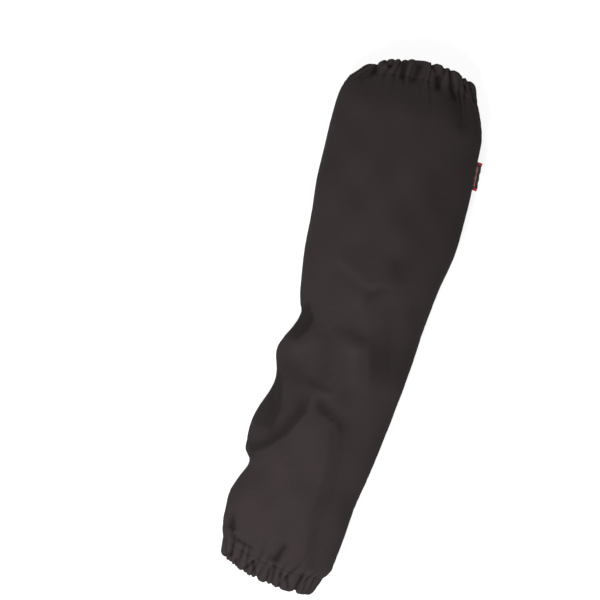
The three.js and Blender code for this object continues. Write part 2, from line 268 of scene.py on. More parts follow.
# The smooth outer face: a point for every distance along (rows) and share of the girth (columns),
# with the direction from there towards the section's core. Share 0 is at the seam on the right,
# 0.25 on top and 0.5 on the left.
def smoothTube(along, shares):
    left, right, height = (edge[:, None] for edge in sectionsAt(along))
    middle, halfWidth = (left + right) / 2, (right - left) / 2
    angles = np.linspace(0, 2 * np.pi, 721)  # every half degree
    rows = []
    for m, h, z in zip(middle, halfWidth, height):
        px, pz = sectionPoints(m, h, z, angles)
        lengths = np.concatenate([[0], np.cumsum(np.hypot(np.diff(px), np.diff(pz)))])
        angle = np.interp((shares % 1) * lengths[-1], lengths, angles)
        rows.append((*sectionPoints(m, h, z, angle), lengths[-1:]))
    x, z, girth = (np.array(c) for c in zip(*rows))
    coreHalf = np.maximum(0, halfWidth - height / 2)
    coreX = middle + np.clip(x - middle, -coreHalf, coreHalf)
    coreZ = height * tube["flank"]
    reach = np.hypot(x - coreX, z - coreZ)
    side = (x - middle) / halfWidth
    a = along[:, None]
    wrist = 1 - smooth(a / tube["arcZone"])
    biceps = 1 - smooth((tube["length"] - a) / tube["arcZone"])
    y = (a + wrist * (tube["wristArc"] * side**2 - tube["wristOut"] - tube["wristSlant"] / 2 * side)
         + biceps * (tube["bicepsSlant"] / 2 * side - tube["bicepsArc"] * side**2))
    return {"x": x, "y": y, "z": z, "inX": (coreX - x) / reach, "inZ": (coreZ - z) / reach,
            "girth": girth, "height": height}


# Folds seen from above, as lines from start to end, each an (x, y). depth sinks the cloth, and a
# ridge has a negative one. reach is how far the fold spreads to each side, and taper how much
# shallower it is at its end. A low edge makes a sharp crease and a high one a soft dent. shade is
# how much painted shade darkens the cloth along it.
folds = [
    # start, end, depth, reach, edge, taper, shade
    ((-56, 258), (-46, 264), 0.7, 5, 0.8, 0, 0),  # elbow notch
    ((-38, 228), (-26, 236), -1.8, 15, 5, 0.2, 0),  # elbow swell
    ((-12, 242), (-8, 212), 0.9, 16, 6, 0, 0.12),  # hollow beside it
    ((-5, 257), (22, 253), 0.9, 12, 4, 0, 0.12),  # arc over the right swell
    ((-17, 199), (3, 197), 0.8, 7, 2, -0.2, 0.12),  # wrinkle below the elbow
    ((3, 191), (20, 179), -1.5, 12, 4, 0.2, 0),  # facet over the right step
    ((-56, 110), (-48, 113), 1.6, 6, 0.8, 0.4, 0),  # third notch
    ((-52, 134), (-44, 142), -0.8, 15, 8, 0.4, 0),  # lower arm swell
    ((0, 152), (6, 128), -1.2, 20, 8, 0.5, 0),  # plane between
    ((15, 240), (21, 216), -2.4, 14, 5, 0.3, 0),  # right swell
    ((6, 286), (16, 270), -1.6, 16, 5, 0.2, 0),  # swell above the elbow
    ((38, 284), (41, 270), 1.1, 16, 5, 0.2, 0.14),  # dent beside it
    ((-24, 319), (10, 305), -1, 7, 2, -0.2, 0),  # upper wrinkle, left
    ((16, 307), (40, 315), -0.9, 5, 1.2, 0.5, 0),  # upper wrinkle, right
    ((14, 298), (24, 304), 1, 9, 3, 0.3, 0),  # under the wrinkle
    ((28, 332), (34, 320), 1, 18, 7, 0.2, 0.1),  # dark patch above it
    ((-20, 48), (-14, 92), -1, 24, 10, 0.3, 0),  # lower arm dome
    # the next two are shallow, and darken the cloth mostly by painted shade
    ((-46, 205), (-12, 201), 0.5, 26, 9, 0.2, 0.34),  # below the elbow
    ((40, 335), (46, 420), 0.6, 38, 12, 0.1, 0.26),  # upper arm, right side
    ((-62, 43), (-60, 32), -1.4, 9, 3, 0.2, 0),  # left of the pucker
    ((-50.4, 41), (-51.8, 52), 4.6, 6.5, 1.3, 0.75, 1.5),  # wrist pucker
    ((-50.5, 40), (-46.5, 22), 2.4, 4, 0.8, 0.1, 0.35),  # below the pucker
    ((-41, 30), (-26, 27), 2, 4.6, 1, 0.3, 0.5),  # wrist wrinkle
    ((4.5, 38), (-0.4, 19), 2, 8, 1.8, -0.9, 0.5),  # wrist diagonal
]

# Steps, where the cloth breaks over a crest and falls away to one side of it: to the left of the
# crest's direction if side is 1. width is how far it falls, tail how far it then stays low, and
# soft rounds the crest. shade is how much painted shade darkens the lee of the crest.
steps = [
    # crest, side, depth, width, tail, soft, fade at both ends, shade
    ([(-12.2, 194), (-11.3, 171), (-22, 145), (-38, 125), (-54, 113)],  # lower arm, long step
     -1, 3.4, 9, 8, 0.7, (20, 4), 0.7),
    ([(-12, 187), (-4, 174), (17, 166), (33, 152)],  # lower arm, right step
     1, 3, 9, 10, 0.8, (10, 26), 0.6),
    ([(8, 170), (20, 140), (22, 97), (16, 58)],  # lower arm, flank
     1, 2.4, 14, 24, 3, (14, 30), 0.3),
    ([(-42, 276), (-36, 268), (-30, 260), (-33, 246), (-44, 229)],  # elbow, left face
     -1, 2.8, 12, 14, 1.2, (6, 10), 0.7),
    ([(-48, 202), (-42, 188), (-35.5, 167), (-38, 155), (-38, 142), (-44, 132)],  # second notch, face
     -1, 3.2, 12, 10, 1.6, (6, 26), 0.6),
    ([(19, 275), (24, 256), (37, 214), (42, 198)],  # dent on the right
     1, 2.6, 22, 30, 1.2, (40, 36), 0.5),
    ([(19, 74), (25, 48), (28, 30), (30, 18)],  # wrist, flank
     1, 1.8, 10, 12, 2.4, (20, 8), 0.25),
]

# Creases that run on through a cuff
cuffFolds = [
    # at the wrist
    ((-46, 33), (-44, 14), 3.6, 3.6, 0.7, 0.1, 0),  # far left
    ((-44, 14), (-50, 7), 2.8, 2.6, 0.5, 0.3, 0),  # far left fork
    ((-44, 14), (-41, 4), 3, 2.6, 0.5, 0.2, 0),  # far left end
    ((-36, 10), (-37, 1), 2.4, 2.4, 0.5, 0.2, 0),  # left
    ((-19.5, 14), (-27, 1), 3.2, 2.6, 0.5, 0.2, 0),  # left fork
    ((-19.5, 14), (-13, -2), 3, 2.6, 0.5, 0.1, 0),  # right fork
    ((2.5, 15), (3.5, -4), 4, 3.4, 0.6, 0.2, 0),  # middle
    ((-2, 12), (-1.5, -5), 2.2, 2.2, 0.4, 0.1, 0),  # middle's left
    ((10, 11), (12, -6), 2.8, 2.4, 0.5, 0.2, 0),  # right of middle
    ((16, 9), (21, -1), 2.8, 2.6, 0.5, 0.3, 0),  # short
    ((31, 13), (27.5, -6), 4.6, 3.2, 0.6, 0.1, 0),  # right
    ((37, 12), (36, 0), 2.2, 2.4, 0.5, 0.2, 0),  # far right
    # at the biceps
    ((-47, 519), (-45.5, 509), 3.8, 3.4, 0.7, 0, 0),  # far left
    ((-45.5, 509), (-55, 499), 3.4, 8, 1.8, 0.6, 0.8),  # left tail
    ((-37, 522), (-32, 518), 1.8, 2.4, 0.5, 0.1, 0),  # left smile
    ((-32, 518), (-26.5, 524), 1.8, 2.4, 0.5, 0.4, 0),  # left smile's end
    ((-20.5, 526), (-18, 511), 3.8, 6, 1.2, 0.1, 0.7),  # left of middle
    ((-4.5, 526), (-6, 512), 3.8, 7.5, 1.7, 0.2, 0.75),  # middle
    ((7.5, 532), (12, 526), 3.4, 2.6, 0.5, 0.2, 0),  # narrow
    ((19, 533), (21, 526), 2.4, 2.4, 0.5, 0.4, 0),  # right of it
    ((16, 520), (18.5, 511), 5, 6.4, 1.6, 0.2, 0.9),  # pit
    ((25.5, 531), (31.5, 517), 3.4, 3, 0.6, 0, 0),  # long crease
    ((31.5, 517), (37.5, 506), 3.4, 5, 1.2, 0.3, 0),  # long crease's tail
    ((38, 508), (52, 482), 3.2, 15, 4, 0.3, 0.5),  # soft tail
    ((40.5, 532), (42, 527), 3.8, 3, 0.7, 0.2, 0),  # right pit
    ((44, 522), (50, 517), 3.2, 3.4, 0.6, 0.5, 0),  # right
    ((47, 530), (51, 521), 2.2, 2.4, 0.5, 0.3, 0),  # corner
]

# Pleats that the elastic draws in at each cuff: sharp creases with puffed cloth between them.
# reach is how far one runs on into the sleeve, and long the share of them that run on further.
gathers = {
    "wrist": {"count": 27, "depth": 2.1, "puff": 0.5, "reach": 6, "long": 0.08, "longReach": 12,
              "closest": 2, "seed": 5},
    "biceps": {"count": 31, "depth": 1.8, "puff": 0.6, "reach": 7, "long": 0.12, "longReach": 18,
               "closest": 2, "seed": 11},
}
# Between which multiples, or which shares of their spacing, the pleats vary
pleatSpread = {"place": (-0.3, 0.3), "depth": (0.3, 1.3), "edgeDepth": (0.1, 1.2), "reach": (0.7, 1.35),
               "lean": (-0.3, 0.3)}  # lean is mm sideways for each mm along
pleatForm = {
    "fade": 1.3,  # how soon a pleat ends past its reach
    "puffed": 0.6,  # the cloth between two pleats is rounder the lower this is
    "opening": 25,  # mm into the sleeve over which that roundness is lost
    "crestReach": 8,
    "leanReach": 60,
}
stitchGroove = {"depth": 0.1, "width": 1.8}
seamGroove = {"depth": 0.8, "width": 1.6, "pucker": 0.35, "puckerPitch": 8.0}
waviness = {"depth": 0.28, "pitch": 60, "fine": 0.08, "finePitch": 12, "seed": 3,
            "sines": 14, "girth": 330, "stretch": (0.5, 1.4)}

# Where the folds and steps act: on the upper face, clear of the seam and of the stitch lines
upperFace = {
    "from": 0.1,  # they set in at this share of the height, and are whole after the next
    "rise": 0.25,
    "middle": 0.27,  # the share of the girth that they lie round, and how far to each side
    "half": 0.45,
    "flankStep": 0.35,  # a step's depth on the flank, as a share of its depth on top
    "stepFrom": 0.42,
    "stepRise": 0.25,
    "stitchClear": 8,  # mm
    "deepest": 5.4,  # mm, where creases cross
}
# How far the painted shade spreads from a fold's line, and past a step's crest
paintedShadeReach = {"foldShare": 0.55, "stepWidth": 2.5}  # a share of the fold's reach, and mm past the crest


# How deep the folds of a table are, and how much painted shade they get
def foldDepth(table, x, y, topness):
    total, shade = np.zeros_like(x), np.zeros_like(x)
    for (ax, ay), (bx, by), depth, reach, edge, taper, shadeAmount in table:
        dx, dy = bx - ax, by - ay
        t = np.clip(((x - ax) * dx + (y - ay) * dy) / (dx * dx + dy * dy), 0, 1)
        away = np.hypot(x - ax - t * dx, y - ay - t * dy)
        profile = np.exp(-(np.sqrt(away**2 + edge**2) - edge) / (reach / 2))
        total += depth * (1 - taper * t) * profile
        shade += shadeAmount * (1 - taper * t) * np.exp(-(away / (paintedShadeReach["foldShare"] * reach)) ** 2)
    return total * topness, shade * topness


# The same for the steps. Depth at the crest is 0, grows over the width and dies away beyond it.
def stepDepth(x, y):
    total, shade = np.zeros_like(x), np.zeros_like(x)
    for crest, lee, depth, width, tail, soft, (fadeIn, fadeOut), shadeAmount in steps:
        crest = np.array(crest, dtype=float)
        runs = np.hypot(*np.diff(crest, axis=0).T)
        starts = np.concatenate([[0], np.cumsum(runs)])
        nearest, side, place = np.full_like(x, 1e9), np.zeros_like(x), np.zeros_like(x)
        for (ax, ay), (bx, by), run, start in zip(crest[:-1], crest[1:], runs, starts):
            dx, dy = (bx - ax) / run, (by - ay) / run
            t = np.clip((x - ax) * dx + (y - ay) * dy, 0, run)
            away = np.hypot(x - ax - t * dx, y - ay - t * dy)
            closer = away < nearest
            nearest = np.where(closer, away, nearest)
            side = np.where(closer, np.sign(dx * (y - ay) - dy * (x - ax)), side)
            place = np.where(closer, start + t, place)
        out = nearest * side * lee
        fall = (out + np.sqrt(out**2 + soft**2)) / 2
        low = (np.exp(-np.maximum(fall - width, 0) / tail)
               * smooth(place / fadeIn) * smooth((starts[-1] - place) / fadeOut))
        total += depth * np.minimum(fall / width, 1) * low
        # painted shade in the lee of the crest
        shade += shadeAmount * np.minimum(fall / paintedShadeReach["stepWidth"], 1) * low
    return total, shade


def makePleats(end):
    g = gathers[end]
    draw = np.random.default_rng(g["seed"])
    count = g["count"]
    isLong = draw.uniform(0, 1, count) < g["long"]
    leans = draw.uniform(*pleatSpread["lean"], count)
    leans[[0, -1]] = 0
    return {
        "place": (np.arange(count) + 0.5 + draw.uniform(*pleatSpread["place"], count)) / count,
        "depth": g["depth"] * draw.uniform(*pleatSpread["depth"], count),
        "edgeDepth": g["depth"] * draw.uniform(*pleatSpread["edgeDepth"], count),
        "reach": np.where(isLong, g["longReach"], g["reach"]) * draw.uniform(*pleatSpread["reach"], count),
        "lean": leans,
    }


pleats = {end: makePleats(end) for end in gathers}


# How deep the pleats are. distance is counted from the stitch line, into the sleeve if positive.
def pleatDepth(end, shares, distance, girth):
    p, g = pleats[end], gathers[end]
    inside = np.maximum(distance, 0)
    outside = np.clip(-distance / tube["casing"], 0, 1)
    faded = np.exp(-(inside / p["reach"]) ** pleatForm["fade"])
    depths = mix(p["depth"], p["edgeDepth"], smooth(outside)) * faded
    order = np.arange(g["count"]) * g["closest"]
    places = p["place"] * girth + p["lean"] * np.clip(distance, -tube["casing"], pleatForm["leanReach"])
    places = np.maximum.accumulate(places - order, axis=1) + order
    total = np.zeros(np.broadcast(shares, distance).shape)
    for i in range(g["count"]):
        j = (i + 1) % g["count"]
        start = places[:, i:i + 1]
        gap = (places[:, j:j + 1] - start) % girth
        across = ((shares * girth - start) % girth) / gap
        lobe = np.sin(np.pi * np.clip(across, 0, 1)) ** (pleatForm["puffed"] + inside / pleatForm["opening"])
        crest = g["puff"] * np.exp(-(inside / pleatForm["crestReach"]) ** 2)
        deep = mix(depths[:, i:i + 1], depths[:, j:j + 1], smooth(across))
        total += np.where(across < 1, deep * (1 - lobe) - crest * lobe, 0)
    return total


# Smooth unevenness, from sines that run round the tube a whole number of times
def unevenness(shares, along, pitch, seed):
    draw = np.random.default_rng(seed)
    total = np.zeros(np.broadcast(shares, along).shape)
    for _ in range(waviness["sines"]):
        turns = draw.integers(1, max(2, int(2 * waviness["girth"] / pitch)))
        wave = draw.uniform(*waviness["stretch"]) / pitch * draw.choice([-1, 1])
        total += np.sin(2 * np.pi * (turns * shares + wave * along) + draw.uniform(0, 2 * np.pi))
    return total / math.sqrt(waviness["sines"])


# Where the cloth lies when its smooth outer face is sunk by a depth
def sunkBy(depth, base):
    return base["x"] + base["inX"] * depth, base["z"] + base["inZ"] * depth


# The cloth's outer face with all its folds, sunk by extraDepth more, and how far it is sunk
def clothFace(along, shares, extraDepth=0.0):
    base = smoothTube(along, shares)
    s, a = shares[None, :], along[:, None]
    level = base["z"] / base["height"]
    onTop = np.abs(s % 1 - upperFace["middle"]) < upperFace["half"]
    topness = smooth((level - upperFace["from"]) / upperFace["rise"]) * onTop
    fromWrist, fromBiceps = a - stitchAt["wrist"], stitchAt["biceps"] - a
    inner = smooth(np.minimum(fromWrist, fromBiceps) / upperFace["stitchClear"])
    highness = mix(upperFace["flankStep"], 1, smooth((level - upperFace["stepFrom"]) / upperFace["stepRise"]))
    stepped, shade = (field * topness * inner for field in stepDepth(base["x"], base["y"]))
    stepped = stepped * highness
    folded, foldShade = foldDepth(folds, base["x"], base["y"], topness)
    crossing, crossingShade = foldDepth(cuffFolds, base["x"], base["y"], topness)
    depth = folded * inner + stepped + crossing
    shade = shade + foldShade * inner + crossingShade
    middle = tube["length"] / 2
    depth = depth + pleatDepth("wrist", s, np.where(a < middle, fromWrist, 1e3), base["girth"])
    depth = depth + pleatDepth("biceps", s, np.where(a > middle, fromBiceps, 1e3), base["girth"])
    depth = np.minimum(depth, upperFace["deepest"])
    for away in (fromWrist, fromBiceps):
        depth = depth + stitchGroove["depth"] * np.exp(-(away / stitchGroove["width"]) ** 2)
    fromSeam = ((s + 0.5) % 1 - 0.5) * base["girth"]
    pucker = 1 + seamGroove["pucker"] * np.sin(2 * np.pi * a / seamGroove["puckerPitch"])
    depth = depth + seamGroove["depth"] * pucker * np.exp(-np.abs(fromSeam) / seamGroove["width"])
    uneven = waviness["depth"] * unevenness(s, a, waviness["pitch"], waviness["seed"])
    uneven += waviness["fine"] * unevenness(s, a, waviness["finePitch"], waviness["seed"] + 1)
    depth = depth + uneven * inner
    x, z = sunkBy(depth + extraDepth, base)
    return {"x": x, "y": base["y"], "z": np.maximum(z, 0.0), "depth": depth, "stepped": stepped,
            "shade": shade, "base": base}


def toModel(x, y, z):
    return np.stack([x + tube["frameShift"][0], y + tube["frameShift"][1], z], axis=-1) * mm


# A mesh from rows of points that close round the columns, and round the rows too if closed is
# set. uv gives the flat place of each column and row on the cloth, in metres. wear is how worn each
# point is and how much painted shade it has. cuts are the rows of faces that are a cut edge, and stay
# unsmoothed.
def gridMesh(name, points, uv, material, wear=None, closed=False, cuts=()):
    rows, columns = points.shape[:2]
    index = np.arange(rows * columns).reshape(rows, columns)
    lower = index if closed else index[:-1]
    upper = np.roll(index, -1, axis=0) if closed else index[1:]
    quads = np.stack([upper, np.roll(upper, -1, axis=1), np.roll(lower, -1, axis=1), lower], axis=-1)
    mesh = bpy.data.meshes.new(name)
    mesh.from_pydata(points.reshape(-1, 3).tolist(), [], quads.reshape(-1, 4).tolist())
    isSmooth = np.ones(quads.shape[:2], dtype=bool)
    isSmooth[list(cuts)] = False
    mesh.polygons.foreach_set("use_smooth", isSmooth.reshape(-1))
    for title, values in zip(("wear", "paintedShade"), wear or (np.zeros((rows, columns)),) * 2):
        attribute = mesh.attributes.new(title, "FLOAT", "POINT")
        attribute.data.foreach_set("value", values.reshape(-1).astype(np.float32))
    across, down = uv
    u = np.concatenate([across, [2 * across[-1] - across[-2]]])
    v = np.concatenate([down, [2 * down[-1] - down[-2]]])
    m, n = (a.reshape(-1) for a in np.meshgrid(np.arange(len(lower)), np.arange(columns), indexing="ij"))
    corners = np.stack([u[n], v[m + 1], u[n + 1], v[m + 1], u[n + 1], v[m], u[n], v[m]], axis=-1)
    mesh.uv_layers.new(name="cloth").data.foreach_set("uv", corners.reshape(-1).astype(np.float32))
    mesh.materials.append(material)
    mesh.update()
    return addObject(name, mesh)


# The piece as its modifiers leave it, as a plain mesh
def plainMesh(obj, name):
    mesh = bpy.data.meshes.new_from_object(obj.evaluated_get(bpy.context.evaluated_depsgraph_get()))
    bpy.data.objects.remove(obj)
    mesh.name = name
    return addObject(name, mesh)


# Rows packed closer where the cloth has small folds
def unevenRows(start, end, stepAt):
    rows = [start]
    while rows[-1] < end:
        rows.append(rows[-1] + stepAt(rows[-1]))
    rows = np.array(rows)
    return start + (rows - start) * (end - start) / (rows[-1] - start)


# Flame-resistant cotton twill, 9 oz: matt, with a faint bloom of loose fibre and a diagonal rib
# of about 0.6 mm. The rib is drawn 1.2 mm apart, because 0.6 mm is finer than a pixel.
cottonLook = {
    "colour": "#2A2424",
    "worn": "#322C2C",
    "deep": "#282323",
    # painted shade: the colour that the cloth is darkened towards where shade falls
    "paintedShadeTone": "#1B1717",
    "roughness": 0.92,
    "specular": 0.03,  # the loose fibre scatters nearly all of the reflection
    "sheen": 0.015,
    "sheenRoughness": 0.55,
    "ribPitch": 1.2,  # mm
    "ribTurn": 58,  # degrees
    "ribHeight": 0.05,
    "ribTone": (0.86, 1.1),
    "fuzz": 0.45,  # mm across one speck of loose fibre
    "fuzzTone": (0.9, 1.12),
    "blotch": 38.0,  # mm across a patch where the dye has taken differently
}


def makeCotton(name, look):
    material, tree, shader = newMaterial(name, {
        "Roughness": look["roughness"], "Specular IOR Level": look["specular"],
        "Sheen Weight": look["sheen"], "Sheen Roughness": look["sheenRoughness"]})
    uv = addNode(tree, "ShaderNodeUVMap", uv_map="cloth")
    place = addNode(tree, "ShaderNodeTexCoord").outputs["Object"]
    wear = addNode(tree, "ShaderNodeAttribute", attribute_name="wear").outputs["Fac"]
    paintedShade = addNode(tree, "ShaderNodeAttribute", attribute_name="paintedShade").outputs["Fac"]

    # the patterns: the diagonal rib, the loose fibre and the uneven dye
    turned = addNode(tree, "ShaderNodeMapping",
                     {"Vector": uv, "Rotation": (0, 0, math.radians(look["ribTurn"]))})
    rib = addNode(tree, "ShaderNodeTexWave",
                  {"Vector": turned, "Scale": waveScale(look["ribPitch"]), "Distortion": 0.9, "Detail": 1.0,
                   "Detail Scale": 3.0}).outputs["Fac"]
    fuzz = addNode(tree, "ShaderNodeTexNoise",
                   {"Vector": uv, "Scale": 0.5 / (look["fuzz"] * mm), "Detail": 3.0, "Roughness": 0.7})
    blotch = addNode(tree, "ShaderNodeTexNoise",
                     {"Vector": place, "Scale": 1 / (look["blotch"] * mm), "Detail": 5.0, "Roughness": 0.65})

    # the colour: the dye, then worn crests, then painted shade in creases and on faces turned from the light
    dyed = addNode(tree, "ShaderNodeMapRange", {"Value": blotch, "From Min": 0.3, "From Max": 0.62})
    ground = addNode(tree, "ShaderNodeMix",
                     {0: dyed, mixA: linearColour(look["deep"]), mixB: linearColour(look["colour"])},
                     data_type="RGBA")
    rubbed = addNode(tree, "ShaderNodeMath", {0: wear, 1: fuzz}, operation="MULTIPLY", use_clamp=True)
    faded = addNode(tree, "ShaderNodeMix",
                    {0: rubbed, mixA: ground.outputs[mixOut], mixB: linearColour(look["worn"])},
                    data_type="RGBA")
    # painted shade over creases and over faces turned from the light
    shadedColour = addNode(tree, "ShaderNodeMix",
                   {0: paintedShade, mixA: faded.outputs[mixOut], mixB: linearColour(look["paintedShadeTone"])},
                   data_type="RGBA")

    # the light and dark of its threads, and their relief
    (ribLow, ribHigh), (fuzzLow, fuzzHigh) = look["ribTone"], look["fuzzTone"]
    threads = addNode(tree, "ShaderNodeMapRange", {"Value": rib, "To Min": ribLow, "To Max": ribHigh})
    specks = addNode(tree, "ShaderNodeMapRange",
                     {"Value": fuzz, "From Min": 0.3, "From Max": 0.7, "To Min": fuzzLow, "To Max": fuzzHigh})
    tone = addNode(tree, "ShaderNodeMath", {0: threads, 1: specks}, operation="MULTIPLY")
    toned = addNode(tree, "ShaderNodeVectorMath", {"Vector": shadedColour.outputs[mixOut], "Scale": tone},
                    operation="SCALE")
    tree.links.new(toned.outputs["Vector"], shader.inputs["Base Color"])
    relief = addNode(tree, "ShaderNodeMath", {0: rib, 1: fuzz}, operation="ADD")
    bump = addNode(tree, "ShaderNodeBump",
                   {"Height": relief, "Strength": 0.7, "Distance": look["ribHeight"] * mm})
    tree.links.new(bump.outputs["Normal"], shader.inputs["Normal"])
    return material


cotton = makeCotton("flame-resistant cotton twill", cottonLook)
print("cotton made")

# The body of the sleeve: one wall of cloth between the two stitch lines
body = {
    "columns": 300,
    "wall": 0.9,  # mm
    "ease": 0.7,  # how far the cloth stands outside the solid, away from the stitch lines
    "finest": 1.2,  # mm between rows beside the cuffs
    "fine": 3.4,  # round the elbow
    "plain": 5.4,
    "cuffZone": (20, 44),  # from the stitch line, where the rows are finest and where they end being so
    "elbow": (92, 330),
    "easeZone": 12,  # from the stitch line, over which the ease sets in
    "girth": 0.36,  # metres, on the flat cloth
}
shares = np.arange(body["columns"]) / body["columns"]


def bodyStep(along):
    distance = min(along - stitchAt["wrist"], stitchAt["biceps"] - along)
    near, far = body["cuffZone"]
    if distance < far:
        return mix(body["finest"], 2 * body["finest"], max(0, distance - near) / (far - near))
    return body["fine"] if body["elbow"][0] < along < body["elbow"][1] else body["plain"]


# Crests rub and fade first, and creases get painted shade. Both run from 0 to 1, and are
# whole where the cloth stands this many mm out from its neighbourhood or sinks into it.
wearAndPaintedShade = {"crest": 0.9, "crease": 1.6, "passes": 14}


# How far the cloth stands out from its neighbourhood, in mm, and negative in a crease
def standOut(depth):
    around = depth.copy()
    for _ in range(wearAndPaintedShade["passes"]):
        rows = np.concatenate([around[:1], around, around[-1:]])
        around = (rows[:-2] + rows[2:] + np.roll(around, 1, axis=1) + np.roll(around, -1, axis=1)) / 4
    return around - depth


# Crest wear, and painted shade: the creases' own added to the folds' and steps' painted shade
def wearAndPaintedShadeOf(depth, shade):
    out = standOut(depth)
    shadeAmount = np.clip(-out / wearAndPaintedShade["crease"], 0, 1)
    return np.clip(out / wearAndPaintedShade["crest"], 0, 1), np.clip(shadeAmount + shade, 0, 1)


bodyRows = unevenRows(stitchAt["wrist"], stitchAt["biceps"], bodyStep)
fromStitches = np.minimum(bodyRows - stitchAt["wrist"], stitchAt["biceps"] - bodyRows)
ease = body["ease"] * smooth(fromStitches / body["easeZone"])[:, None]
bodyFace = clothFace(bodyRows, shares, -ease)
insideFace = clothFace(bodyRows, shares, body["wall"] - ease)
outside = toModel(bodyFace["x"], bodyFace["y"], bodyFace["z"])
inside = toModel(insideFace["x"], insideFace["y"], np.maximum(insideFace["z"], body["wall"]))
bodyWearAndPaintedShade = wearAndPaintedShadeOf(bodyFace["depth"] - bodyFace["stepped"], bodyFace["shade"])


def andBack(rows):  # out over the outer face and back over the inner one
    return np.concatenate([rows, rows[::-1]])


flatPlaces = (shares * body["girth"], np.concatenate([bodyRows, 2 * tube["length"] - bodyRows[::-1]]) * mm)
sleeveBody = gridMesh("sleeveBody", np.concatenate([outside, inside[::-1]]), flatPlaces, cotton,
                      tuple(map(andBack, bodyWearAndPaintedShade)), closed=True, cuts=(len(bodyRows) - 1, -1))
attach(sleeveBody, "root")
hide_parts("sleeve_body")
print("body made,", len(sleeveBody.data.polygons), "faces")

# A cuff: the cloth turned in over the elastic. In a pleat the two layers lie close on the
# elastic, and between pleats both puff away from it.
cuff = {
    "wall": 0.9,
    "puff": 7.6,  # thickness of the turned-in edge between pleats
    "flat": 3.4,  # and in a pleat
    "sewn": 1.8,  # at the stitch line
    "plumpZone": 5,  # from the stitch line, over which the cuff thickens
    "deepPleat": 3.2,
    "pullBack": 2.8,  # how far a deep pleat draws the edge in
    "edgeRound": 3.4,  # how far the rounded edge reaches, outside and inside the cloth
    "insideRound": 2.4,
    "hemLap": 5,  # how far the raw edge reaches past the stitch line
    "hemGap": 0.25,  # between the hem and the body's cloth
    "turning": 4,  # mm of flat cloth that go round the edge
    "girth": 0.3,  # metres, on the flat cloth
}


# Points across the casing: out is the distance from the stitch line towards the edge, and sink
# runs from 0 on the outer face to 1 on the inner one. wall 1 is the cloth's hidden face.
def cuffProfile():
    turnFrom, lap = tube["casing"] - cuff["edgeRound"], -cuff["hemLap"]

    def roundEdge(radius, turns, hidden):
        return [(turnFrom + radius * math.sin(turn), (1 - math.cos(turn)) / 2, hidden)
                for turn in turns[1:-1]]

    line = [(out, 0.0, 0) for out in np.linspace(0, turnFrom, 15)]
    line += roundEdge(cuff["edgeRound"], np.linspace(0, math.pi, 9), 0)
    line += [(out, 1.0, 0) for out in np.linspace(turnFrom, lap, 16)]
    line += [(out, 1.0, 1) for out in np.linspace(lap, turnFrom, 12)]
    line += roundEdge(cuff["insideRound"], np.linspace(math.pi, 0, 7), 1)
    line += [(out, 0.0, 1) for out in np.linspace(turnFrom, 0.4, 10)]
    return line


def drawnBack(pleat, out):  # how far a pleat draws the edge in
    return cuff["pullBack"] * pleat * out**2 / tube["casing"] ** 2


def cuffPoints(end, line):
    rows, depths, shades, flatPlaces = [], [], [], []
    stitch, way = stitchAt[end], outwards[end]
    travelled, before = 0.0, None
    for out, sink, hidden in line:
        face = clothFace(np.array([stitch + way * max(out, 0.0)]), shares)
        here = clothFace(np.array([stitch + way * out]), shares)
        pleat = np.clip(face["depth"] / cuff["deepPleat"], 0, 1)
        plump = smooth(abs(out) / cuff["plumpZone"])
        thick = mix(cuff["sewn"], mix(cuff["puff"], cuff["flat"], pleat), plump)
        if out < 0:
            thick = 2 * cuff["wall"] + cuff["hemGap"]
        depth = (here["depth"] if out < 0 else face["depth"]) + sink * thick
        if hidden:
            depth = depth + (cuff["wall"] if sink < 0.5 else -cuff["wall"])
        x, z = sunkBy(depth, here["base"])
        y = here["base"]["y"] - way * drawnBack(pleat, max(out, 0.0))
        rows.append(toModel(x, y, np.maximum(z, cuff["wall"] if hidden else 0.0))[0])
        depths.append(here["depth"][0])
        shades.append(here["shade"][0])
        if before is not None:
            travelled += math.hypot(out - before[0], cuff["turning"] * (sink - before[1]))
        flatPlaces.append(travelled * mm)
        before = (out, sink)
    return [np.array(column) for column in (rows, depths, shades, flatPlaces)]


def makeCuff(end, name, node):
    points, depths, shades, down = cuffPoints(end, cuffProfile())
    if end == "wrist":
        points, depths, shades = points[::-1], depths[::-1], shades[::-1]
    piece = gridMesh(name, points, (shares * cuff["girth"], down), cotton, wearAndPaintedShadeOf(depths, shades),
                     closed=True, cuts=(-1,))
    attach(piece, "root")
    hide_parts(node)
    return piece


wristCuff = makeCuff("wrist", "wristCuff", "wrist_cuff")
bicepsCuff = makeCuff("biceps", "bicepsCuff", "biceps_cuff")
print("cuffs made")

# The flat elastics inside the cuffs. Each lies on the cloth in a pleat, and bridges the puffs.
elastic = {
    "from": 3.6,  # mm from the stitch line
    "width": 12.7,
    "wall": 1.1,
    "gap": 0.12,
    "shallowest": 2.9,  # how far it lies in from the smooth tube at least
    "floorGap": 0.1,
    "backFrom": 14,  # mm, where its back face starts on the flat pattern
}
# Braided polyester over rubber: matt, with fine cords that cross it
elasticLook = {"colour": "#1C1B1B", "roughness": 0.75, "weave": 1.5, "weaveHeight": 0.3, "relief": 0.8}


# The relief of the threads that cross a tape: weave mm apart and weaveHeight mm high
def addWeave(tree, shader, look):
    uv = addNode(tree, "ShaderNodeUVMap", uv_map="cloth")
    threads = addNode(tree, "ShaderNodeTexWave", {"Vector": uv, "Scale": waveScale(look["weave"])},
                      bands_direction="Y").outputs["Fac"]
    bump = addNode(tree, "ShaderNodeBump", {
        "Height": threads, "Strength": look["relief"], "Distance": look["weaveHeight"] * mm})
    tree.links.new(bump.outputs["Normal"], shader.inputs["Normal"])


def makeElasticTape(name, look):
    material, tree, shader = newMaterial(name, {
        "Base Color": linearColour(look["colour"]), "Roughness": look["roughness"]})
    addWeave(tree, shader, look)
    return material


tape = makeElasticTape("braided elastic", elasticLook)


